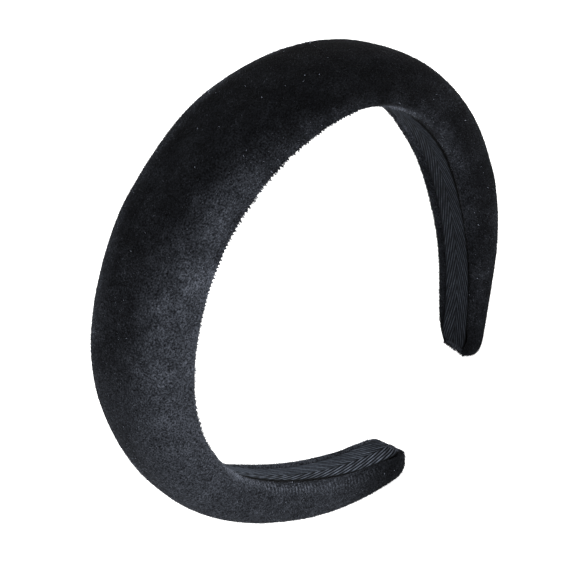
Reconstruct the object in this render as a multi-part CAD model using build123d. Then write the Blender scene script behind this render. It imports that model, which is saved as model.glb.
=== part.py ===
"""A padded velvet headband: a sprung plastic hoop under a domed foam pad, both wrapped in velvet, with
a herringbone tape glued inside to hide the cloth's turned-in margins.

Row frame, in millimetres: +Z up through the crown, X from arm to arm, Y from the front edge to the
back edge. The origin is on the surface that the two tips stand on, midway between them.

Every piece follows one line, the inner face of the hoop, measured as an arc length s from the crown
(negative on the left arm). A section at s is drawn in (y, n): y across the band, n outwards from the
hoop's inner face. Each piece is a loft through its own sections.
"""

import os
from math import cos, radians, sin

from build123d import *

# ---- driving dimensions -------------------------------------------------------------------------

# The hoop's inner face: three tangent arcs from the crown to each tip.
CROWN_RADIUS, CROWN_ANGLE = 73.0, 36.5
SIDE_RADIUS, SIDE_ANGLE = 54.0, 74.0
ARM_RADIUS, ARM_ANGLE = 117.0, 33.5

# Half widths of the covered band and of the bare hoop, at the crown and near the tips.
BAND_CROWN, BAND_TIP = 19.5, 8.2
HOOP_CROWN, HOOP_TIP = 13.5, 6.0
TAPER_AT, TAPER_POWER = 0.51, 4.75

# Height of the covered band above the hoop's inner face.
PAD_CROWN, PAD_TIP = 16.5, 5.5
PAD_POWER, PAD_ROUND = 1.8, 0.48

# Thicknesses, and the clearance that keeps neighbours apart.
HOOP_THICK = 1.8
PAD_TAPE_THICK = 0.15
CLOTH_THICK = 1.4
MARGIN_THICK = 0.8
HEM_GLUE_THICK = 0.2
LINING_THICK = 0.65
CLEAR = 0.1
GLUE_CLEAR = 0.05

# The inner face: the cloth's margins reach in to MARGIN_END, and rise from the tape at CREASE.
MARGIN_END = 4.5
CREASE = 6.9
LINING_HALF = 6.5
SIDE_LEVEL = 1.2
LOBE_IN, LOBE_OUT = -3.2, -2.2
LIP_IN, LIP_OUT = -1.2, -1.0
FULLNESS = 0.77

# The tips: the last few millimetres are rounded in plan, and the cloth folds over the end.
TIP_ROUND, TIP_KEEP = 6.0, 0.66
END_WALL = 2.2
HOOP_END_ROUND, HOOP_END_KEEP = 5.0, 0.5

# Where each inner piece stops, short of the covered tip.
HOOP_SHORT = END_WALL + 0.2
LINING_SHORT = END_WALL + 0.4
FOAM_SHORT = 5.0
LINING_GLUE_SHORT = 6.0
HEM_GLUE_SHORT = 10.0
PAD_TAPE_SHORT = 12.0

STATION_STEP = 8.0
TIP_STEP, TIP_STATIONS = 0.25, 8
CIRCLE = 0.5523

# ---- the line that everything follows -----------------------------------------------------------

ARCS = [
    (CROWN_RADIUS, radians(CROWN_ANGLE)),
    (SIDE_RADIUS, radians(SIDE_ANGLE)),
    (ARM_RADIUS, radians(ARM_ANGLE)),
]
REACH = sum(radius * angle for radius, angle in ARCS)


def along(distance):
    """The line at a distance from the crown, as (x, z below the crown, heading in radians)."""
    x, z, heading = 0.0, 0.0, 0.0
    for radius, angle in ARCS:
        turn = min(angle, distance / radius)
        x += radius * (sin(heading + turn) - sin(heading))
        z += radius * (cos(heading + turn) - cos(heading))
        heading += turn
        distance -= radius * turn
    return x, z, heading


def share(s):
    """How far s is along its arm, from 0 at the crown to 1 at the tip."""
    return min(1.0, abs(s) / REACH)


def taper(s):
    """1 at the crown, falling smoothly to nearly 0 at the tips."""
    return 1.0 / (1.0 + (share(s) / TAPER_AT) ** TAPER_POWER)


def pad_height(s):
    """Height of the velvet's crest above the hoop's inner face."""
    return PAD_TIP + (PAD_CROWN - PAD_TIP) * (1.0 - share(s) ** PAD_POWER) ** PAD_ROUND


def rounded(s, end, radius, keep):
    """The share of its width that a piece ending at end has left at s."""
    left = max(0.0, min(1.0, (end - abs(s)) / radius))
    return keep + (1.0 - keep) * (1.0 - (1.0 - left) ** 2)


def band_half(s):
    """Half width of the covered band."""
    half = BAND_TIP + (BAND_CROWN - BAND_TIP) * taper(s)
    return half * rounded(s, REACH, TIP_ROUND, TIP_KEEP)


def hoop_half(s):
    """Half width of the plastic hoop."""
    half = HOOP_TIP + (HOOP_CROWN - HOOP_TIP) * taper(s)
    return half * rounded(s, REACH - HOOP_SHORT, HOOP_END_ROUND, HOOP_END_KEEP)


def crease_at(s):
    """Where the cloth rises from beside the tape."""
    return min(CREASE, band_half(s) - 1.7)


def margin_at(s):
    """How near the middle the cloth's turned-in margins reach."""
    return min(MARGIN_END, hoop_half(s) - 1.2)


def crest_drop(s):
    """How far the velvet's crest at s lies above the hoop's inner face at the crown; negative is below."""
    _, z, heading = along(s)
    return z + cos(heading) * pad_height(s)


CROWN_LEVEL = -min(crest_drop(REACH * i / 1000) for i in range(900, 1001))


def section_plane(s):
    """The plane of the section at s: its x is +Y, and its y points outwards."""
    x, z, heading = along(abs(s))
    side = 1.0 if s >= 0 else -1.0
    heading *= side
    return Plane(
        origin=(side * x, 0.0, CROWN_LEVEL + z),
        x_dir=(0.0, 1.0, 0.0),
        z_dir=(cos(heading), 0.0, -sin(heading)),
    )


def stations(end):
    """Section places from one end to the other, closer and closer together towards the ends."""
    tip = [end - TIP_STEP * i * i for i in reversed(range(TIP_STATIONS + 1))]
    steps = round(tip[0] / STATION_STEP)
    arm = [tip[0] * i / steps for i in range(1, steps)] + tip
    return [*[-s for s in reversed(arm)], 0.0, *arm]


# ---- outlines -----------------------------------------------------------------------------------


def mirrored(segments):
    """The same segments on the other side of the band, running back to their start."""
    return [[(-y, n) for y, n in reversed(points)] for points in reversed(segments)]


def wire(s, segments):
    """A closed outline at s: two points make a line, and four a curve."""
    plane = section_plane(s)
    edges = []
    for points in segments:
        placed = [plane.from_local_coords((y, n, 0.0)) for y, n in points]
        edges.append(Edge.make_line(*placed) if len(placed) == 2 else Edge.make_bezier(*placed))
    return Wire(edges)


def lofted(places, outline):
    """A solid through outline(s) at each place."""
    return Solid.make_loft([wire(s, outline(s)) for s in places])


def dome(half, low, high):
    """From the band's widest point over to the crest."""
    rise = high - low
    return [(half, low), (half, low + FULLNESS * rise), (FULLNESS * half, high), (0.0, high)]


def bar(half, low, high):
    """A flat strip with fully rounded edges."""
    mid, thick = (low + high) / 2, (high - low) / 2
    flat, pull = half - thick, CIRCLE * thick
    side = [
        [(0.0, low), (flat, low)],
        [(flat, low), (flat + pull, low), (half, mid - pull), (half, mid)],
        [(half, mid), (half, mid + pull), (flat + pull, high), (flat, high)],
        [(flat, high), (0.0, high)],
    ]
    return side + mirrored(side)


def strip(left, right, low, high):
    """A flat strip with square edges."""
    corners = [(left, low), (right, low), (right, high), (left, high)]
    return [[corners[i], corners[(i + 1) % 4]] for i in range(4)]


def cover_outside(s):
    """The velvet's pile side, from the crease beside the tape up to the crest."""
    half, crease = band_half(s), crease_at(s)
    lobe = [
        (crease, -HEM_LEVEL),
        (crease + 0.45 * (half - crease), LOBE_IN),
        (half, LOBE_OUT),
        (half, SIDE_LEVEL),
    ]
    return [lobe, dome(half, SIDE_LEVEL, pad_height(s))]


HEM_TOP = HEM_GLUE_THICK + 2 * GLUE_CLEAR
HEM_LEVEL = HEM_TOP + MARGIN_THICK


def cover_section(s):
    """Everything inside the velvet's pile side, flat across the inner face."""
    fold = [[(0.0, -HEM_LEVEL), (crease_at(s), -HEM_LEVEL)]]
    side = fold + cover_outside(s)
    return side + mirrored(side)


def hollow_section(s):
    """What the velvet goes round: the pad, the hoop, and the open channel between its margins."""
    half = band_half(s) - CLOTH_THICK
    hoop = min(hoop_half(s), half - 0.6)
    margin = margin_at(s)
    below = -HEM_LEVEL - 1.0
    side = [
        [(0.0, below), (margin, below)],
        [(margin, below), (margin, -HEM_TOP)],
        [(margin, -HEM_TOP), (hoop, -HEM_TOP)],
        [(hoop, -HEM_TOP), (hoop + 0.3 * (half - hoop), LIP_IN), (half, LIP_OUT), (half, SIDE_LEVEL)],
        dome(half, SIDE_LEVEL, pad_height(s) - CLOTH_THICK),
    ]
    return side + mirrored(side)


def foam_section(s):
    """A dome with lips that reach down past the hoop's edges."""
    half = band_half(s) - CLOTH_THICK - CLEAR
    slot = hoop_half(s) + 1.5 * CLEAR
    seat = HOOP_THICK + PAD_TAPE_THICK + 2 * GLUE_CLEAR
    side = [
        [(0.0, seat), (slot, seat)],
        [(slot, seat), (slot, -CLEAR)],
        [(slot, -CLEAR), (slot + 0.3 * (half - slot), LIP_IN + 0.2), (half, LIP_OUT + 0.15), (half, SIDE_LEVEL)],
        dome(half, SIDE_LEVEL, pad_height(s) - CLOTH_THICK - CLEAR),
    ]
    return side + mirrored(side)


# ---- the pieces ---------------------------------------------------------------------------------


def make_hoop():
    """The sprung plastic band that gives the headband its shape and grip."""
    return lofted(stations(REACH - HOOP_SHORT), lambda s: bar(hoop_half(s), 0.0, HOOP_THICK))


def make_pad_tape():
    """Double-sided tape between the hoop and the foam."""
    low = HOOP_THICK + GLUE_CLEAR
    return lofted(
        stations(REACH - PAD_TAPE_SHORT),
        lambda s: strip(1.5 - hoop_half(s), hoop_half(s) - 1.5, low, low + PAD_TAPE_THICK),
    )


def make_foam_pad():
    """The foam that domes the band."""
    return lofted(stations(REACH - FOAM_SHORT), foam_section)


def make_velvet_cover():
    """The velvet: wrapped round the pad, turned in under the hoop, and folded over the tips."""
    return lofted(stations(REACH), cover_section) - lofted(stations(REACH - END_WALL), hollow_section)


def make_hem_glue(side):
    """The glue under one turned-in margin of the velvet."""
    low = -GLUE_CLEAR - HEM_GLUE_THICK

    def outline(s):
        edges = sorted((side * (MARGIN_END + 0.7), side * (hoop_half(s) - 0.8)))
        return strip(*edges, low, -GLUE_CLEAR)

    return lofted(stations(REACH - HEM_GLUE_SHORT), outline)


def make_lining_glue():
    """The bead that fills the channel between the velvet's margins and holds the tape down."""
    half = MARGIN_END - CLEAR
    low = -HEM_LEVEL
    return lofted(stations(REACH - LINING_GLUE_SHORT), lambda s: strip(-half, half, low, -GLUE_CLEAR))


def make_lining_tape():
    """The woven tape against the hair, from tip to tip."""
    high = -HEM_LEVEL - CLEAR

    def outline(s):
        return bar(min(LINING_HALF, crease_at(s) - 0.35), high - LINING_THICK, high)

    return lofted(stations(REACH - LINING_SHORT), outline)


def main():
    pieces = {
        "hoop": make_hoop(),
        "pad_tape": make_pad_tape(),
        "foam_pad": make_foam_pad(),
        "velvet_cover": make_velvet_cover(),
        "front_hem_glue": make_hem_glue(-1),
        "rear_hem_glue": make_hem_glue(1),
        "lining_glue": make_lining_glue(),
        "lining_tape": make_lining_tape(),
    }
    os.makedirs("parts", exist_ok=True)
    for name, solid in pieces.items():
        export_step(solid, f"parts/{name}.step")
    print("arm length", round(REACH, 2), "crown level", round(CROWN_LEVEL, 3))


main()
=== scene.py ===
"""Looks for the padded velvet headband.

The velvet with its pile, the foam and the woven tape are built here as their own meshes, on the same line
that the CAD parts follow. Lengths are in millimetres, and MM turns them into metres.

A place on the band is (s, y, n): the arc length s from the crown, negative on the left arm, y across the
band, negative at the front, and n outwards from the hoop's inner face. On the velvet, w is the distance along
its outline from the middle, which is the crest, and is negative at the front too.
"""

import math

import bmesh
import bpy
import numpy as np
from mathutils import Matrix, Vector


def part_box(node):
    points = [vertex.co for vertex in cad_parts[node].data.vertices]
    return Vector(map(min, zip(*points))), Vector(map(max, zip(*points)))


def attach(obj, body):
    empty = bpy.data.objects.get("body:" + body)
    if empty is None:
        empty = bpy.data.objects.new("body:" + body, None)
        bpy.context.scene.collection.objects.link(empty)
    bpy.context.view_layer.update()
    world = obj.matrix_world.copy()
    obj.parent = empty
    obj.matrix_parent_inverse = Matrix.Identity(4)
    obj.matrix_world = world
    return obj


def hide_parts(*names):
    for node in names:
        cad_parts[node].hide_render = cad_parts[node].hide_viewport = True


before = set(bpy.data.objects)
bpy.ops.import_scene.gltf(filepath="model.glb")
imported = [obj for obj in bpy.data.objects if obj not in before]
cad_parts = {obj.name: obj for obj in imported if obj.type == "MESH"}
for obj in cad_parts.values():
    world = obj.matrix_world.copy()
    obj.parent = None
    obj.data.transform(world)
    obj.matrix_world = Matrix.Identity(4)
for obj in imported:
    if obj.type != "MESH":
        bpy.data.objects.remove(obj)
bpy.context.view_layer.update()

MM = 0.001

# ---- the headband's driving dimensions, as the CAD has them -------------------------------------

ARCS = [(73.0, math.radians(36.5)), (54.0, math.radians(74.0)), (117.0, math.radians(33.5))]
REACH = sum(radius * angle for radius, angle in ARCS)
BAND_CROWN, BAND_TIP = 19.5, 8.2
HOOP_CROWN, HOOP_TIP = 13.5, 6.0
TAPER_AT, TAPER_POWER = 0.51, 4.75
PAD_CROWN, PAD_TIP = 16.5, 5.5
PAD_POWER, PAD_ROUND = 1.8, 0.48
SIDE_LEVEL, FULLNESS = 1.2, 0.77
HEM_LEVEL, HEM_TOP = 1.1, 0.3
CREASE, MARGIN_END = 6.9, 4.5
CLOTH_THICK = 1.4
TIP_ROUND, TIP_KEEP = 6.0, 0.66
END_WALL = 2.2
HOOP_THICK = 1.8
LINING_HALF, LINING_THICK, LINING_SHORT = 6.5, 0.65, 2.6
CROWN_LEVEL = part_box("hoop")[1].z / MM - HOOP_THICK

# ---- looks ---------------------------------------------------------------------------------------

TWIST_LEFT, TWIST_RIGHT = math.radians(-3), math.radians(7)  # the arms are turned a little
TWIST_FROM, TWIST_TO = 80, 165
TIP_LONGER, LONGER_FROM = 1.2, 150
TIP_SKEW, SKEW_LENGTH = 0.13, 10
LOBE_DEEP, LOBE_SIDE, LOBE_TIP = -3.7, -2.3, -1.5
LUMP_HIGH, LUMP_WIDE = (0.28, 0.10), (26, 9)

# the photo's small irregularities, as hills: (height, s of the middle, width along s)
PAD_RIGHT = [(2.0, 132, 20), (-2.3, 172, 16), (-0.45, 92, 12), (0.35, 62, 13)]
PAD_LEFT = [(0.5, -64, 18), (-0.35, -112, 12), (0.3, -16, 7), (0.3, -154, 16)]
PAD_CROWN_HILL = [(0.45, 15, 9)]
BACK_RIGHT = [(1.9, 140, 30), (-0.5, 86, 12), (0.9, 163, 9), (-0.7, 184, 6)]
BACK_LEFT = [(-0.6, -112, 13), (2.2, -186, 6), (-0.8, -168, 7)]
FRONT_FLATTER = [(1.1, 54, 16), (0.9, -110, 15), (-0.4, -26, 16)]
BACK_FLATTER = [(2.0, 88, 12), (1.3, -113, 12), (0.9, 44, 6), (-1.0, 68, 9)]
TAPE_ASIDE = [(1.5, 62, 22)]

PILE_LENGTH, PILE_SUNK, PILE_THICK = 0.85, 0.40, (0.08, 0.12)
TUFT, TUFT_SMALL = 1.2, 0.5
FIBRES, FIBRES_PER_PIECE, TIP_FIBRES = 180000, 45000, 3000
LINT = 180
RIB_PITCH, RIB_ANGLE, RIB_DEPTH = 1.15, math.radians(18), 0.22
YARN_PITCH = 0.62
TAPE_GAP = 0.5
PILE_SHADES = [0.003, 0.006, 0.010, 0.016, 0.025, 0.038, 0.056, 0.082, 0.120, 0.175]
LINT_SHADE = 0.55
PILE_GAIN, GROUND_GAIN = 0.76, 0.46
GRAIN, TUFT_CONTRAST = 1.5, 1.4
TINT, TAPE_TINT = (0.90, 0.99, 1.21), (0.87, 1.0, 1.25)

# ---- helpers -------------------------------------------------------------------------------------


def mesh_object(name, verts, faces):
    """A smooth mesh from points in metres."""
    mesh = bpy.data.meshes.new(name)
    mesh.from_pydata([tuple(map(float, v)) for v in verts], [], [tuple(map(int, f)) for f in faces])
    mesh.shade_smooth()
    obj = bpy.data.objects.new(name, mesh)
    bpy.context.scene.collection.objects.link(obj)
    return obj


NOISE_TABLE, TUFT_TABLE = 251, 97


def value_noise(seed, x, y, cell):
    """Smooth noise from -1 to 1 over a plane, with features cell wide."""
    table = np.random.default_rng(seed).uniform(-1, 1, (NOISE_TABLE, NOISE_TABLE))
    x, y = np.asarray(x, float) / cell, np.asarray(y, float) / cell
    i, j = np.floor(x).astype(int), np.floor(y).astype(int)
    fx, fy = x - i, y - j
    fx, fy = fx * fx * (3 - 2 * fx), fy * fy * (3 - 2 * fy)

    def corner(a, b):
        return table[(i + a) % NOISE_TABLE, (j + b) % NOISE_TABLE]

    low = corner(0, 0) * (1 - fx) + corner(1, 0) * fx
    high = corner(0, 1) * (1 - fx) + corner(1, 1) * fx
    return low * (1 - fy) + high * fy


def bump(x, centre, width):
    """A smooth hill, 1 at its centre."""
    return np.exp(-(((x - centre) / width) ** 2))


def hills(s, places):
    """Several hills, each given as (height, centre, width), added up."""
    return sum(height * bump(s, centre, width) for height, centre, width in places)


def ramp(x, low, high):
    """From 0 at low to 1 at high, smoothly."""
    t = np.clip((x - low) / (high - low), 0, 1)
    return t * t * (3 - 2 * t)


# ---- shape ---------------------------------------------------------------------------------------


def along(s):
    """The line at arc lengths s: x, height from the crown's level, and heading."""
    left = np.abs(s)
    x, z, heading = 0.0 * left, 0.0 * left, 0.0 * left
    for radius, angle in ARCS:
        turn = np.clip(left / radius, 0, angle)
        x = x + radius * (np.sin(heading + turn) - np.sin(heading))
        z = z + radius * (np.cos(heading + turn) - np.cos(heading))
        heading = heading + turn
        left = np.maximum(left - radius * turn, 0)
    x, z = x + left * np.cos(heading), z - left * np.sin(heading)
    side = np.where(s < 0, -1.0, 1.0)
    return x * side, z, heading * side


def placed(s, y, n):
    """Points in the row frame, in metres."""
    x, z, heading = along(s + np.sign(s) * TIP_LONGER * ramp(np.abs(s), LONGER_FROM, REACH))
    turn = np.where(s < 0, TWIST_LEFT, TWIST_RIGHT) * ramp(np.abs(s), TWIST_FROM, TWIST_TO)
    y, n = y * np.cos(turn) - n * np.sin(turn), n * np.cos(turn) + y * np.sin(turn)
    return np.stack([x + np.sin(heading) * n, y + 0 * s, CROWN_LEVEL + z + np.cos(heading) * n], -1) * MM


def share(s):
    """How far along its arm a place is, from 0 at the crown to 1 at the tip."""
    return np.minimum(1.0, np.abs(s) / REACH)


def rounded(s, end, radius, keep):
    """A width's share near an end: 1 up to radius before it, then round down to keep."""
    left = np.clip((end - np.abs(s)) / radius, 0, 1)
    return keep + (1 - keep) * (1 - (1 - left) ** 2)


def taper(s):
    return 1 / (1 + (share(s) / TAPER_AT) ** TAPER_POWER)


def band_half(s):
    return (BAND_TIP + (BAND_CROWN - BAND_TIP) * taper(s)) * rounded(s, REACH, TIP_ROUND, TIP_KEEP)


def hoop_half(s):
    return HOOP_TIP + (HOOP_CROWN - HOOP_TIP) * taper(s)


def pad_height(s):
    """Height of the crest. The pad is a little fuller half way down each arm, more so on the right."""
    even = PAD_TIP + (PAD_CROWN - PAD_TIP) * np.maximum(0, 1 - share(s) ** PAD_POWER) ** PAD_ROUND
    return even + hills(s, PAD_RIGHT) + hills(s, PAD_LEFT) + hills(s, PAD_CROWN_HILL)


def back_wider(s):
    """How much further the back edge reaches than the front one."""
    return hills(s, BACK_RIGHT) + hills(s, BACK_LEFT)


def drawn_in(s):
    """The share by which whatever lies inside the velvet is drawn in where the back edge is narrower."""
    return 1 + (np.minimum(back_wider(s), 0) / band_half(s))[:, None]


def crease_at(s):
    """How far from the middle the tape's edge meets the velvet."""
    return np.minimum(CREASE, band_half(s) - 1.7)


def tape_aside(s):
    """How far the tape lies off the band's middle, towards the back."""
    return hills(s, TAPE_ASIDE)


def bezier(controls, t):
    """Points on cubic curves whose controls are (y, n) at each s; t runs along the last axis."""
    weights = [(1 - t) ** 3, 3 * (1 - t) ** 2 * t, 3 * (1 - t) * t * t, t ** 3]
    return [sum(np.asarray(c[k])[..., None] * w for c, w in zip(controls, weights)) for k in (0, 1)]


def dome_controls(half, base, pad):
    """The curve from the side, at height base, to the crest."""
    rise = pad - base
    return [(half, base + 0 * pad), (half, base + FULLNESS * rise), (FULLNESS * half, pad), (0 * half, pad)]


def half_outline(s, flatter, wider, aside):
    """The pile side of the velvet at each s, from the crease beside the tape to the crest."""
    t = np.linspace(0, 1, 40)
    half, crease, level = band_half(s) + wider, crease_at(s) + aside, np.ones_like(s)
    folded = ramp(np.abs(s), REACH - 13, REACH - 2)
    deep = (LOBE_DEEP + flatter) * (1 - folded) + LOBE_TIP * folded
    side = (LOBE_SIDE + flatter) * (1 - folded) + LOBE_TIP * folded
    lobe = [
        (crease, -HEM_LEVEL * level), (crease + 0.25 * (half - crease), deep),
        (half, side), (half, SIDE_LEVEL * level),
    ]
    (y1, n1), (y2, n2) = bezier(lobe, t), bezier(dome_controls(half, SIDE_LEVEL, pad_height(s)), t)
    return np.concatenate([y1, y2[:, 1:]], 1), np.concatenate([n1, n2[:, 1:]], 1)


def spaced(y, n, count):
    """The same outlines with count points evenly spaced along each."""
    step = np.hypot(np.diff(y, axis=1), np.diff(n, axis=1))
    reach = np.concatenate([np.zeros((len(y), 1)), np.cumsum(step, 1)], 1)
    at = np.linspace(0, 1, count)
    ys = np.stack([np.interp(at * r[-1], r, row) for r, row in zip(reach, y)])
    ns = np.stack([np.interp(at * r[-1], r, row) for r, row in zip(reach, n)])
    return ys, ns, reach[:, -1]


def full_outline(s, count):
    """From the front crease over the crest to the back crease, with each outline's length."""
    y, n = half_outline(s, hills(s, FRONT_FLATTER), 0 * s, -tape_aside(s))
    back_y, back_n = half_outline(s, hills(s, BACK_FLATTER), back_wider(s), tape_aside(s))
    y = np.concatenate([-y, back_y[:, ::-1][:, 1:]], 1)
    n = np.concatenate([n, back_n[:, ::-1][:, 1:]], 1)
    return spaced(y, n, count)


def edge_zone(y, n, s):
    """1 on the rolled edges beside the inner face, falling to 0 on the dome."""
    return ramp(-n, -5.0, 0.5) * ramp(np.abs(y) - crease_at(s), 0.5, 2.5)


def lumps(s, w):
    """The pad's slight unevenness, in millimetres, fading out towards the tips."""
    uneven = sum(
        high * value_noise(seed, s, w, wide) for seed, high, wide in zip((11, 12), LUMP_HIGH, LUMP_WIDE)
    )
    return uneven * (1 - ramp(np.abs(s), 150, 178))


def tip_skew(s, y):
    """The right arm's end is a little slantwise, and the left arm's far corner is rounded off."""
    start = REACH - SKEW_LENGTH
    return TIP_SKEW * (np.maximum(y, 0) * ramp(-s, start, REACH) - y * ramp(s, start, REACH))


# ---- velvet ground -------------------------------------------------------------------------------

OUTER, BOTTOM = 121, 6  # points across the pile side, and across a tip's underside
TIP_EDGE = 1.3
UNDERSIDE_NAP = 0.06


def cover_outside():
    """The velvet's pile side, tip to tip: the rows' arc lengths and how many of them a tip adds, the points
    in metres, their places across and outwards, and the tone with its painted sheen and shade."""
    s_mid = np.linspace(-REACH + END_WALL, REACH - END_WALL, 600)
    # the rings that round off a tip
    angles = np.linspace(0, math.pi / 2, 6)[1:]
    s_tip, inset_tip = REACH - TIP_EDGE + TIP_EDGE * np.sin(angles), TIP_EDGE * (1 - np.cos(angles))
    s_out = np.concatenate([[REACH - END_WALL + 0.45, REACH - TIP_EDGE], s_tip])
    inset_out = np.concatenate([[0, 0], inset_tip])
    s = np.concatenate([-s_out[::-1], s_mid, s_out])
    inset = np.concatenate([inset_out[::-1], 0 * s_mid, inset_out])[:, None]
    y, n, length = full_outline(s, OUTER)
    # they draw in towards the middle of the tip's thickness
    middle = (pad_height(s) - HEM_LEVEL)[:, None] / 2
    y = y * (1 - inset / band_half(s)[:, None])
    n = middle + (n - middle) * (1 - inset / (middle + HEM_LEVEL))
    w = np.linspace(-0.5, 0.5, OUTER)[None, :] * length[:, None]
    sg = s[:, None] + 0 * y
    base = placed(sg + tip_skew(sg, y), y, n)
    ds, dw = np.gradient(base, axis=0), np.gradient(base, axis=1)
    normal = np.cross(ds, dw)
    normal /= np.linalg.norm(normal, axis=-1, keepdims=True)
    fade = ramp(np.arange(OUTER), 0, 5) * ramp(-np.arange(OUTER), 1 - OUTER, 6 - OUTER)
    grain = np.random.default_rng(5).uniform(-1, 1, y.shape)
    rise = 0.10 + lumps(sg, w) + 0.06 * grain * ramp(-np.abs(sg), -REACH + 1, -REACH + 4)
    base = base + normal * (rise * fade)[..., None] * MM
    return s, len(s_out), base, y, n, tone_with_painted_sheen(sg, w, length[:, None] / 2 - np.abs(w))


def cover_inside(s):
    """The lining side of the cloth, from the back margin round to the front one, and the margin's reach."""
    half = band_half(s) - CLOTH_THICK
    lip = np.minimum(hoop_half(s), half - 0.6)
    margin = np.minimum(MARGIN_END, lip - 0.8)[:, None]
    level = np.ones_like(s)
    t = np.linspace(0, 1, 12)
    hem = [
        (lip, -HEM_TOP * level), (lip + 0.3 * (half - lip), -1.2 * level),
        (half, -1.0 * level), (half, SIDE_LEVEL * level),
    ]
    y1, n1 = bezier(hem, t)
    y2, n2 = bezier(dome_controls(half, SIDE_LEVEL, pad_height(s) - CLOTH_THICK), t)
    y = np.concatenate([margin, y1, y2[:, 1:]], 1)
    n = np.concatenate([-HEM_TOP * level[:, None], n1, n2[:, 1:]], 1)
    y = np.concatenate([y * drawn_in(s), -y[:, ::-1][:, 1:]], 1)
    n = np.concatenate([n, n[:, ::-1][:, 1:]], 1)
    # the margins' cut ends, level with the creases
    y = np.concatenate([margin, y, -margin], 1)
    cut = -HEM_LEVEL * level[:, None]
    return y, np.concatenate([cut, n, cut], 1), margin[0, 0]


def strip_between(a, b):
    """The faces between two rows of as many points."""
    return [(a[k], a[k + 1], b[k + 1], b[k]) for k in range(len(a) - 1)]


def make_cover():
    """The velvet as cloth: round the pad, turned in under the hoop, and folded over the tips."""
    s, tip_rows, base, y, n, tone = cover_outside()
    rings = len(s)
    first, last = tip_rows, rings - tip_rows - 1
    verts = list(base.reshape(-1, 3))
    outer = np.arange(rings * OUTER).reshape(rings, OUTER)
    inside_y, inside_n, margin = cover_inside(s[first:last + 1])
    lining = len(verts) + np.arange(inside_y.size).reshape(inside_y.shape)
    verts.extend(placed(s[first:last + 1, None] + 0 * inside_y, inside_y, inside_n).reshape(-1, 3))
    loops = np.concatenate([outer[first:last + 1, -1:], lining, outer[first:last + 1, :1]], 1)
    faces = []
    for grid in (outer, loops):
        for a, b in zip(grid[:-1], grid[1:]):
            faces.extend(quad[::-1] for quad in strip_between(a, b))

    # the flat underside of each tip, and the wall that closes the cloth inside it
    for rows, flip in ((list(range(last, rings)), False), (list(range(first, -1, -1)), True)):
        start, loop = rows[0], lining[0 if flip else -1]
        strips = []
        for r in rows:
            reach = margin if r == start else abs(y[r, 0])
            across = np.linspace(reach, -reach, BOTTOM + 2)[1:-1]
            at = np.full(BOTTOM, s[r])
            strips.append([outer[r, -1], *range(len(verts), len(verts) + BOTTOM), outer[r, 0]])
            verts.extend(placed(at + tip_skew(at, across), across, np.full(BOTTOM, n[r, 0])))
        wall = [*loop, *strips[0][-2:0:-1]]
        end = [*outer[rows[-1]], *strips[-1][1:-1]]
        # the first strip has two more points, which triangles join at its ends
        a, b = [strips[0][0], loop[0], *strips[0][1:-1], loop[-1], strips[0][-1]], strips[1]
        under = [(a[0], a[1], b[0]), (a[-2], a[-1], b[-1]), *strip_between(a[1:-1], b)]
        for a, b in zip(strips[1:-1], strips[2:]):
            under.extend(strip_between(a, b))
        faces.extend(face[::-1] if flip else face for face in under)
        faces.append(wall if flip else wall[::-1])
        faces.append(end[::-1] if flip else end)
    obj = mesh_object("velvet_ground", verts, faces)
    # the tone with its painted sheen and shade; the underside keeps one plain tone
    tones = np.full(len(verts), UNDERSIDE_NAP)
    tones[:tone.size] = tone.ravel()
    layer = obj.data.attributes.new("tone_and_painted_sheen", "FLOAT", "POINT")
    layer.data.foreach_set("value", tones.astype(np.float32))
    return obj


# ---- pile ----------------------------------------------------------------------------------------


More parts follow.
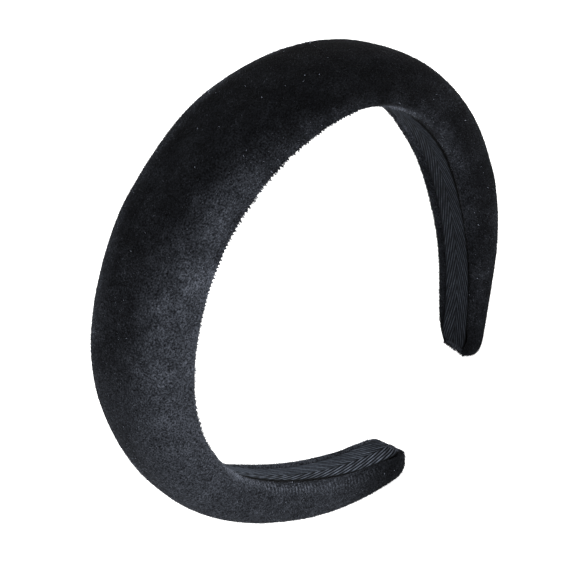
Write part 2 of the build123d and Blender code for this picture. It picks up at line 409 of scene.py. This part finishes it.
class Surface:
    """The velvet's pile side as a fine grid that fibres are planted on."""

    ROWS, COLUMNS = 1501, 161

    def __init__(self):
        self.s = np.linspace(-REACH + 0.6, REACH - 0.6, self.ROWS)
        y, n, self.length = full_outline(self.s, self.COLUMNS)
        sg = self.s[:, None] + 0 * y
        w = np.linspace(-0.5, 0.5, self.COLUMNS)[None, :] * self.length[:, None]
        p = placed(sg + tip_skew(sg, y), y, n)
        ds, dw = np.gradient(p, axis=0), np.gradient(p, axis=1)
        ds /= np.linalg.norm(ds, axis=-1, keepdims=True)
        dw /= np.linalg.norm(dw, axis=-1, keepdims=True)
        normal = np.cross(ds, dw)
        normal /= np.linalg.norm(normal, axis=-1, keepdims=True)
        p = p + normal * (lumps(sg, w) + 0.15)[..., None] * MM
        places = np.stack([sg, w, y, n, self.length[:, None] / 2 - np.abs(w)], -1)
        self.layers = np.concatenate([p, normal, ds, dw, places], -1)

    def ends(self, count, rng):
        """The same rows for the flat underside beyond the tape and for the end of each tip."""
        side = np.where(np.arange(count) % 2 < 1, -1.0, 1.0)
        across, out = rng.uniform(-1, 1, count), rng.random(count)
        end_half = band_half(np.array([REACH - 0.8]))[0] - 0.5
        under = np.arange(count) < count // 2
        s = side * np.where(under, REACH - 2.4 + 2.2 * out, REACH - 0.15)
        y = across * end_half
        top = (pad_height(side * REACH) - 1) * (1 - 0.5 * across ** 2)
        n = np.where(under, -HEM_LEVEL, -HEM_LEVEL + (top + HEM_LEVEL) * out)

        def beside(ds, dy, dn):
            return placed(s + ds + tip_skew(s, y), y + dy, n + dn)

        p, small = beside(0, 0, 0), 0.1
        ts, tw, tn = beside(small, 0, 0) - p, beside(0, small, 0) - p, beside(0, 0, small) - p
        ts, tw, tn = (v / np.linalg.norm(v, axis=1, keepdims=True) for v in (ts, tw, tn))
        normal = np.where(under[:, None], -tn, ts * side[:, None])
        onward = np.where(under[:, None], ts, tn)
        places = np.stack([s, np.where(under, 12.0, -12.0) + 2 * across, y, n, np.full(count, 3.0)], -1)
        return np.concatenate([p, normal, onward, tw, places], -1)

    def plant(self, count, rng):
        """Points spread evenly over the surface, as one row of layers each."""
        chance = np.cumsum(self.length)
        chance /= chance[-1]
        a = np.interp(rng.random(count), chance, np.arange(self.ROWS))
        b = rng.random(count) * (self.COLUMNS - 1)
        i, j = np.minimum(a.astype(int), self.ROWS - 2), np.minimum(b.astype(int), self.COLUMNS - 2)
        fa, fb = (a - i)[:, None], (b - j)[:, None]
        g = self.layers
        low = g[i, j] * (1 - fa) + g[i + 1, j] * fa
        high = g[i, j + 1] * (1 - fa) + g[i + 1, j + 1] * fa
        return low * (1 - fb) + high * fb


def tone_with_painted_sheen(s, w, from_crease):
    """The velvet's tone, as a share of white, with painted sheen and shade: nearly black over the
    crown, greyer down the left arm and towards the rolled edges as painted sheen, darker in the front creases
    as painted shade, with brush marks and mottling."""
    inward, front, lower = np.maximum(-w, 0.8 * w), ramp(-w, 10, 14), bump(s, -132, 19)
    # painted sheen: black to grey, slantwise over the crown and down the left arm, and painted shade on the
    # top of the crown
    arm = ramp(10 - 74 * (1 - ramp(inward, 2, 28)) - s, -40, 40)
    level = (0.0085 + 0.050 * arm * (1 - 0.28 * ramp(-s, 92, 112))) * (1 - 0.45 * bump(s, 45, 38))
    # painted sheen in greyer patches: beside both edges, over the crown, and down the right arm
    level = level + 0.007 * ramp(-w, 12, 24) * bump(s, -66, 26) + 0.016 * ramp(w, 7, 13) * bump(s, 5, 55)
    level = level + 0.006 * bump(s, -32, 14) + 0.010 * ramp(inward, 23, 28) * bump(s, 48, 18)
    level = level + 0.026 * bump(s, 102, 22) * bump(inward, 25, 3)
    level = level + 0.003 * ramp(s, 80, 120) + 0.005 * ramp(s, 122, 140) + 0.005 * ramp(inward, 22, 30)
    # painted sheen on the rolls along the front creases
    left_roll_sheen = bump(from_crease, 3.2 + 1.0 * ramp(-s, 105, 130), 2.4 - 0.9 * lower)
    roll_sheen = front * np.where(s < 0, left_roll_sheen, bump(from_crease, 16.5 - 0.12 * s, 1.8))
    level = level + roll_sheen * (0.100 * bump(s, -102, 9) + 0.120 * bump(s, 71, 12) + 0.025 * lower)
    # painted shade in the left arm's front crease
    level = level * (1 - 0.55 * lower * front * (1 - ramp(from_crease, 1.2, 3.4)))
    # darker front sides at the tips, and painted sheen on the back edges of both arms
    level = level * (1 - np.where(s < 0, 0.7 * ramp(-w, 0, 6), 0.35) * ramp(np.abs(s), 146, 176))
    back_right_sheen = 0.7 * ramp(s, 80, 100) * (1 - ramp(from_crease, 6, 9))
    level = level * (1 + ramp(w, 8, 14) * (0.6 * ramp(-s, 85, 105) + back_right_sheen))
    # mottling at three scales, calmer down the left arm, and the painted sheen on the left arm's rolled edge
    # broken into light and shade in streaks, like fine creases
    even = ramp(-s, 30, 80)
    mottle = 0.26 * (1 - 0.35 * even) * value_noise(21, s, w, 15)
    mottle = mottle + 0.34 * (1 - 0.6 * even) * value_noise(22, s, w, 6)
    mottle = mottle + 0.26 * (1 - 0.7 * even) * value_noise(23, s, w, 2.4)
    sheen_streaks = np.sin(2 * math.pi * (s + 0.25 * from_crease) / 1.4 + 2.0 * value_noise(24, s, w, 5))
    sheen_streaks = 0.80 * (1 + 0.6 * value_noise(25, s, w, 5)) * roll_sheen * sheen_streaks
    sheen_streaks = sheen_streaks * ramp(-s, 92, 104) * (1 - ramp(-s, 164, 174))
    # painted shade right along the front crease
    crease_shade = 0.85 * front * (1 - ramp(from_crease, 0.4, 1.4)) * (1 - ramp(np.abs(s), 158, 172))
    return level * np.exp(mottle + sheen_streaks) * (1 - crease_shade)


def tufted(s, w, table, cell):
    """How far each place is from its tuft's middle, and a number from 0 to 1 that the whole tuft shares."""
    i, j = np.floor(s / cell), np.floor(w / cell)
    own = table[i.astype(int) % TUFT_TABLE, j.astype(int) % TUFT_TABLE]
    return (i + 0.2 + 0.6 * own[:, 0]) * cell - s, (j + 0.2 + 0.6 * own[:, 1]) * cell - w, own[:, 2]


def fringed(s, w, y, n):
    """1 on the edges where the pile stands open against the light, and 0 elsewhere."""
    edge = edge_zone(y, n, s)
    front = ramp(-w, 10, 14) * ramp(s, -95, -80) * (1 - ramp(s, 45, 60))
    back = 0.6 * ramp(w, 10, 14) * ramp(s, 85, 100)
    tips = 0.5 * ramp(np.abs(s), REACH - 5, REACH - 2)
    return np.minimum(edge * (front + back + tips), 1)


def make_pile():
    """The velvet's fibres, each a slender three-sided spike, in pieces from the front edge to the back."""
    rng = np.random.default_rng(3)
    surface = Surface()
    at = np.concatenate([surface.plant(FIBRES - TIP_FIBRES, rng), surface.ends(TIP_FIBRES, rng)])
    base, normal, ts, tw = at[:, 0:3], at[:, 3:6], at[:, 6:9], at[:, 9:12]
    s, w, y, n, from_crease = at[:, 12:].T
    edge, fringe = edge_zone(y, n, s), fringed(s, w, y, n)
    # the nap lies along the band, drifts in patches, and stands up on the rolled edges
    lean_s = 0.8 + 0.5 * value_noise(31, s, w, 12) + 0.4 * value_noise(32, s, w, 3.5)
    lean_w = 0.5 * value_noise(33, s, w, 12) + 0.4 * value_noise(34, s, w, 3.5)
    lean_s = lean_s * (1 - 0.92 * edge) + rng.normal(0, 0.15, FIBRES)
    lean_w = lean_w * (1 - 0.85 * edge) + rng.normal(0, 0.15, FIBRES)
    # fibres gather into tufts, most of all where the cloth turns sharply over the front edge
    table = rng.random((TUFT_TABLE, TUFT_TABLE, 3))
    tufts = []
    for cell, pull in ((TUFT_SMALL, 0.75 * (1 - fringe)), (TUFT, 0.95 * fringe)):
        to_s, to_w, tuft = tufted(s, w, table, cell)
        lean_s = lean_s + pull * to_s / PILE_LENGTH
        lean_w = lean_w + pull * to_w / PILE_LENGTH
        tufts.append(tuft)
    small_tuft, edge_tuft = tufts
    way = normal + ts * lean_s[:, None] + tw * lean_w[:, None]
    way /= np.linalg.norm(way, axis=1, keepdims=True)
    ragged = 0.7 + 1.1 * bump(s, 8, 20)
    tall = PILE_LENGTH * rng.uniform(0.8, 1.1, FIBRES) * (1 + fringe * (ragged * edge_tuft - 0.05))
    tall = tall * (0.75 + 0.25 * ramp(from_crease, 0.3, 1.8))
    root = base - normal * PILE_SUNK * MM
    tip = root + way * (tall * MM)[:, None]
    thick = (rng.uniform(*PILE_THICK, FIBRES) * MM)[:, None]
    turn = rng.uniform(0, 2 * math.pi, FIBRES)[:, None]
    side = np.cross(way, ts)
    side /= np.linalg.norm(side, axis=1, keepdims=True)
    other = np.cross(way, side)
    corners = [
        root + (side * np.cos(turn + k) + other * np.sin(turn + k)) * thick
        for k in (0, 2 * math.pi / 3, 4 * math.pi / 3)
    ]
    verts = np.stack([*corners, tip], 1)
    grain = GRAIN * value_noise(26, s, w, 0.5) + TUFT_CONTRAST * (small_tuft - 0.5)
    # each fibre takes the velvet's tone with its painted sheen and shade, so the pile's shades carry it too
    tone = tone_with_painted_sheen(s, w, from_crease) * PILE_GAIN * (1 - 0.12 * fringe)
    tone = tone * np.exp(grain + rng.normal(0, 0.42, FIBRES))
    shades = len(PILE_SHADES)
    shade = np.round(np.interp(np.log(tone), np.log(PILE_SHADES), np.arange(shades))).astype(int)
    shade[rng.choice(FIBRES, LINT, replace=False)] = shades
    order = np.argsort(w)
    pieces = []
    for k in range(0, FIBRES, FIBRES_PER_PIECE):
        pick = order[k:k + FIBRES_PER_PIECE]
        corner = np.arange(len(pick))[:, None, None] * 4
        faces = corner + np.array([[0, 1, 3], [1, 2, 3], [2, 0, 3], [2, 1, 0]])[None]
        obj = tri_object(f"velvet_pile_{len(pieces) + 1}", verts[pick].reshape(-1, 3), faces.reshape(-1, 3))
        obj.data.polygons.foreach_set("material_index", np.repeat(shade[pick], 4).astype(np.int32))
        pieces.append(obj)
    return pieces


def tri_object(name, verts, tris):
    """A smooth triangle mesh, made fast enough for many fibres."""
    mesh = bpy.data.meshes.new(name)
    mesh.vertices.add(len(verts))
    mesh.vertices.foreach_set("co", np.asarray(verts, np.float32).ravel())
    mesh.loops.add(len(tris) * 3)
    mesh.loops.foreach_set("vertex_index", np.asarray(tris, np.int32).ravel())
    mesh.polygons.add(len(tris))
    mesh.polygons.foreach_set("loop_start", np.arange(0, len(tris) * 3, 3, dtype=np.int32))
    mesh.update()
    mesh.validate()
    mesh.shade_smooth()
    obj = bpy.data.objects.new(name, mesh)
    bpy.context.scene.collection.objects.link(obj)
    return obj


# ---- herringbone tape ----------------------------------------------------------------------------


def make_tape():
    """The tape, woven in two columns of ribs that meet along its middle."""
    end = REACH - LINING_SHORT
    shear = 1 / math.tan(RIB_ANGLE)
    pitch = RIB_PITCH / math.sin(RIB_ANGLE)
    per_rib, across = 10, 31  # rows of points to a rib, and points across the tape
    step = pitch / per_rib
    count = int(2 * (end + LINING_HALF * shear + 2) / step)
    i = (np.arange(count) - count / 2)[:, None]
    u = np.linspace(-1, 1, across)[None, :]
    s = i * step + np.abs(u) * LINING_HALF * shear
    rib = 0.5 + 0.5 * np.cos(2 * math.pi * i / per_rib)
    thread = 1 + 0.25 * np.sin(2 * math.pi * s / YARN_PITCH + 3 * i)
    spine = ramp(np.abs(u), 0.0, 0.04)
    selvedge = 1 - ramp(np.abs(u), 0.9, 0.98)
    height = RIB_DEPTH * rib * thread * (0.6 + 0.4 * spine) * selvedge + 0 * s
    bm = bmesh.new()
    top = [
        [bm.verts.new((a, b * LINING_HALF, c)) for a, b, c in zip(row_s, u[0], row_h)]
        for row_s, row_h in zip(s, height)
    ]
    for r in range(count - 1):
        for k in range(across - 1):
            bm.faces.new((top[r][k], top[r][k + 1], top[r + 1][k + 1], top[r + 1][k]))
    # cut to length, square on the left arm and slantwise like the velvet on the right one
    for x, away in ((-end, (-1, 0, 0)), (end, (1, TIP_SKEW, 0))):
        everything = [*bm.verts, *bm.edges, *bm.faces]
        bmesh.ops.bisect_plane(
            bm, geom=everything, plane_co=(x, 0, 0), plane_no=away, clear_outer=True, dist=1e-5
        )
    flat = bmesh.ops.extrude_face_region(bm, geom=list(bm.faces))
    for v in [g for g in flat["geom"] if isinstance(g, bmesh.types.BMVert)]:
        v.co.z = -LINING_THICK + RIB_DEPTH
    bmesh.ops.recalc_face_normals(bm, faces=list(bm.faces))
    bm.verts.ensure_lookup_table()
    co = np.array([v.co for v in bm.verts])
    s, y, h = co[:, 0], co[:, 1], co[:, 2]
    gap = TAPE_GAP + (y < 0) * (0.8 * bump(s, -108, 15) + 0.5 * bump(s, 88, 14))
    half = np.minimum(LINING_HALF, crease_at(s) - gap)
    low = -HEM_LEVEL - 0.1 - LINING_THICK
    out = placed(s, y / LINING_HALF * half + tape_aside(s), low + RIB_DEPTH - h)
    # each rib's height share, which the material paints pale on crests as a highlight and near black in
    # grooves as shade; this painted highlight and shade is softer on the right arm and on the left arm's far
    # half
    crest = np.clip(h / RIB_DEPTH, 0, 1)
    softer_rib_light = 0.42 * ramp(s, 10, 60) + 0.45 * ramp(-s, 60, 110) * ramp(y, 0, 3)
    crest = crest + softer_rib_light * (0.66 - crest)
    # a dusty grey on the tape, with painted light making it paler on the left arm, which faces the light,
    # than on the right; a painted shadow darkens the strip that the front edge shades, and the tape is darker
    # towards its ends
    shaded = 2.1 * ramp(-s, 90, 98) * (1 - ramp(-s, 138, 172)) + 1.4 * bump(s, 90, 34) - LINING_HALF
    dust_and_painted_light = 0.35 + 0.35 * ramp(-s, 60, 130) + 0.25 * bump(s, 60, 20)
    dust_and_painted_light = dust_and_painted_light * ramp(y, shaded, shaded + 0.7) * (1 - 0.4 * ramp(np.abs(s), end - 9, end - 2))
    for v, p in zip(bm.verts, out):
        v.co = p
    bmesh.ops.recalc_face_normals(bm, faces=list(bm.faces))
    mesh = bpy.data.meshes.new("herringbone_tape")
    bm.to_mesh(mesh)
    bm.free()
    mesh.shade_smooth()
    for name, values in (("crest", crest), ("dust_and_painted_light", dust_and_painted_light)):
        mesh.attributes.new(name, "FLOAT", "POINT").data.foreach_set("value", values.astype(np.float32))
    obj = bpy.data.objects.new("herringbone_tape", mesh)
    bpy.context.scene.collection.objects.link(obj)
    return obj


# ---- foam pad ------------------------------------------------------------------------------------


def make_foam():
    """The foam between hoop and velvet: a dome on a flat base, pitted by the cells it is cut through."""
    s = np.linspace(5 - REACH, REACH - 5, 420)
    base, inside = HOOP_THICK + 0.25, CLOTH_THICK + 0.15
    half = band_half(s) - inside
    y, n = bezier(dome_controls(half, base, pad_height(s) - inside), np.linspace(0, 1, 26))
    y = np.concatenate([-y, (y * drawn_in(s))[:, ::-1][:, 1:]], 1)
    n = np.concatenate([n, n[:, ::-1][:, 1:]], 1)
    y, n, _ = spaced(y, n, 64)
    pits = np.random.default_rng(8).uniform(-0.08, 0.0, y.shape)
    pits[:, [0, -1]] = 0
    y, n = y * (1 + pits / band_half(s)[:, None]), n + pits * (n > base + 0.5)
    flat = np.linspace(1, -1, 14)[None, 1:-1]
    y = np.concatenate([y, flat * half[:, None] * np.where(flat > 0, drawn_in(s), 1)], 1)
    n = np.concatenate([n, base + 0 * s[:, None] * flat], 1)
    points = placed(s[:, None] + 0 * y, y, n)
    rows, count = y.shape
    rings = count * np.arange(rows)[:, None] + np.arange(count + 1) % count
    faces = [quad[::-1] for a, b in zip(rings[:-1], rings[1:]) for quad in strip_between(a, b)]
    faces += [rings[0, :-1], rings[-1, -2::-1]]
    return mesh_object("foam_dome", points.reshape(-1, 3), faces)


# ---- materials -----------------------------------------------------------------------------------


class Graph:
    """A material's nodes, made with few words."""

    def __init__(self, name, rough=0.9, specular=0.1):
        self.material = bpy.data.materials.new(name)
        self.material.use_nodes = True
        self.tree = self.material.node_tree
        self.shader = self.tree.nodes["Principled BSDF"]
        self.set("Roughness", rough)
        self.set("Specular IOR Level", specular)

    def node(self, kind, **values):
        made = self.tree.nodes.new(kind)
        for key, value in values.items():
            if hasattr(made, key):
                setattr(made, key, value)
            else:
                made.inputs[key.replace("_", " ")].default_value = value
        return made

    def link(self, out, to):
        self.tree.links.new(out, to)

    def set(self, name, value):
        self.shader.inputs[name].default_value = value

    def feed(self, name, out):
        self.link(out, self.shader.inputs[name])

    def noise(self, scale, detail=2.0, low=0.0, high=1.0):
        """Noise in the object's own space, scale per metre, mapped to low..high."""
        where = self.node("ShaderNodeTexCoord").outputs["Object"]
        made = self.node("ShaderNodeTexNoise", Scale=scale, Detail=detail)
        self.link(where, made.inputs["Vector"])
        return self.map(made.outputs["Fac"], 0.25, 0.75, low, high)

    def map(self, out, a, b, low, high):
        made = self.node("ShaderNodeMapRange", From_Min=a, From_Max=b, To_Min=low, To_Max=high)
        self.link(out, made.inputs["Value"])
        return made.outputs["Result"]

    def math(self, operation, a, b):
        made = self.node("ShaderNodeMath", operation=operation)
        for k, value in enumerate((a, b)):
            if isinstance(value, (int, float)):
                made.inputs[k].default_value = value
            else:
                self.link(value, made.inputs[k])
        return made.outputs[0]

    def attribute(self, name):
        return self.node("ShaderNodeAttribute", attribute_name=name).outputs["Fac"]

    def scaled(self, color, level):
        """A colour times a value."""
        made = self.node("ShaderNodeVectorMath", operation="SCALE")
        made.inputs[0].default_value = color
        self.link(level, made.inputs["Scale"])
        return made.outputs["Vector"]

    def bump(self, height, distance, strength=1.0):
        made = self.node("ShaderNodeBump", Distance=distance, Strength=strength)
        self.link(height, made.inputs["Height"])
        self.feed("Normal", made.outputs["Normal"])


def pile_material(k, level):
    """One shade of pile; its sheen varies from place to place."""
    g = Graph(f"pile_{k + 1}", rough=0.85, specular=0.08)
    g.set("Base Color", (*(level * c for c in TINT), 1))
    g.set("Sheen Roughness", 0.4)
    g.feed("Sheen Weight", g.noise(300, low=0.0, high=0.02))
    return g.material


def ground_material():
    """The velvet under its pile: its tone with painted sheen and shade, with the speckle of pile ends."""
    g = Graph("velvet_ground", rough=1.0, specular=0.03)
    speckle = g.math("MULTIPLY", g.noise(1900, 2.0, 0.15, 1.85), g.noise(420, 2.0, 0.86, 1.14))
    tone = g.math("MULTIPLY", g.attribute("tone_and_painted_sheen"), g.math("POWER", speckle, 1.6))
    g.feed("Base Color", g.scaled(TINT, g.math("MULTIPLY", tone, GROUND_GAIN)))
    g.bump(g.noise(1800, 1.0), 0.0002, 0.6)
    return g.material


def tape_material():
    """Black cotton herringbone: crests painted pale as a highlight, grooves painted near black as shade, fine
    yarn, and a dusty grey with painted light and a painted shadow.
    """
    g = Graph("herringbone", rough=0.9, specular=0.04)
    # painted highlight on the crests and painted shade in the grooves
    crest = g.map(g.math("POWER", g.attribute("crest"), 2.6), 0.0, 1.0, 0.007, 0.145)
    yarn = g.math("MULTIPLY", g.noise(1400, 2.0, 0.6, 1.4), g.noise(90, 2.0, 0.75, 1.25))
    # dusty grey with painted light, and a painted shadow along the front edge
    dust_and_painted_light = g.map(g.attribute("dust_and_painted_light"), 0.0, 1.0, 0.03, 1.0)
    tone = g.math("MULTIPLY", g.math("MULTIPLY", crest, yarn), dust_and_painted_light)
    g.feed("Base Color", g.scaled(TAPE_TINT, tone))
    g.bump(g.noise(4000, 2.0), 0.00008, 0.7)
    return g.material


def simple_material(name, color, patches, spread, rough, specular, pits, depth):
    """A hidden part's plastic, tape, glue or foam: one colour that varies a little, over a fine bump."""
    g = Graph(name, rough, specular)
    g.feed("Base Color", g.scaled(color, g.noise(patches, 3.0, 1 - spread, 1 + spread)))
    g.bump(g.noise(pits, 2.0), depth, 0.5)
    return g.material


def dress(obj, node, slot, *materials):
    """Gives a piece its materials, hides the CAD node it stands for, and hangs it from the root body."""
    for m in materials:
        obj.data.materials.append(m)
    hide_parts(node)
    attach(obj, "root")


cover = make_cover()
dress(cover, "velvet_cover", "velvet", ground_material())

# the pile's shades, from black to grey, which carry the velvet's painted sheen and shade as well as its
# mottling
shades = [pile_material(k, level) for k, level in enumerate([*PILE_SHADES, LINT_SHADE])]
for piece in make_pile():
    dress(piece, "velvet_cover", "velvet", *shades)

tape = make_tape()
dress(tape, "lining_tape", "herringbone_tape", tape_material())

foam = make_foam()
foam_material = simple_material("foam", (0.62, 0.60, 0.55), 900, 0.12, 0.95, 0.1, 2200, 0.0002)
dress(foam, "foam_pad", "pad_foam", foam_material)

plastic = simple_material("hoop_plastic", (0.02, 0.02, 0.022), 60, 0.15, 0.38, 0.5, 500, 0.00003)
carrier = simple_material("mounting_tape", (0.75, 0.72, 0.62), 400, 0.06, 0.6, 0.3, 1500, 0.00002)
glue = simple_material("fabric_glue", (0.70, 0.62, 0.42), 250, 0.15, 0.3, 0.5, 600, 0.00008)
for node, material in {
    "hoop": plastic, "pad_tape": carrier,
    "front_hem_glue": glue, "rear_hem_glue": glue, "lining_glue": glue,
}.items():
    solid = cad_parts[node].data
    solid.materials.clear()
    solid.materials.append(material)

# ---- stage ---------------------------------------------------------------------------------------


FLOOR_HALF, FLOOR_LEVEL = 4.0, -0.0018
LENS, SENSOR = 134.3, 36
CAMERA_AWAY, CAMERA_AIM = 0.688, (0, 0, 71.3)
AIM_LEFT, AIM_UP = 0.0154, 0.00456


def make_stage():
    """A plain pale floor that glows a little, under an even white studio."""
    corners = [(x * FLOOR_HALF, y * FLOOR_HALF, FLOOR_LEVEL) for x, y in ((-1, -1), (1, -1), (1, 1), (-1, 1))]
    floor = mesh_object("floor", corners, [(0, 1, 2, 3)])
    paper = Graph("floor", rough=1.0, specular=0.0)
    paper.set("Base Color", (0.9, 0.9, 0.9, 1))
    paper.set("Emission Color", (1, 1, 1, 1))
    paper.set("Emission Strength", 0.8)
    floor.data.materials.append(paper.material)
    world = bpy.data.worlds.new("studio")
    world.use_nodes = True
    world.node_tree.nodes["Background"].inputs["Color"].default_value = (1, 1, 1, 1)
    world.node_tree.nodes["Background"].inputs["Strength"].default_value = 1.0
    bpy.context.scene.world = world


def area_light(name, at, aim, size, watts):
    data = bpy.data.lights.new(name, "AREA")
    data.size = size
    data.energy = watts
    obj = bpy.data.objects.new(name, data)
    bpy.context.scene.collection.objects.link(obj)
    obj.location = at
    obj.rotation_mode = "QUATERNION"
    obj.rotation_quaternion = (Vector(aim) - Vector(at)).to_track_quat("-Z", "Y")


def make_camera():
    """The camera at the photo's viewing angle."""
    data = bpy.data.cameras.new("camera")
    data.sensor_width = SENSOR
    data.lens = LENS
    obj = bpy.data.objects.new("camera", data)
    bpy.context.scene.collection.objects.link(obj)
    forward = Vector((0.1955, 0.7055, -0.6812))
    right = Vector((0.5402, -0.6572, -0.5256))
    down = Vector((-0.8185, -0.2653, -0.5096))
    centre = Vector(CAMERA_AIM) * MM - forward * CAMERA_AWAY
    aim = (forward - right * AIM_LEFT - down * AIM_UP).normalized()
    right = (right - aim * right.dot(aim)).normalized()
    columns = (right, right.cross(aim), -aim, centre)
    obj.matrix_world = Matrix([*([v[k] for v in columns] for k in range(3)), (0, 0, 0, 1)])
    bpy.context.scene.camera = obj


make_stage()
area_light("key", (0.5, -0.3, 0.9), (0, 0, 0.07), 0.8, 9)
make_camera()
bpy.context.scene.view_settings.view_transform = "Standard"
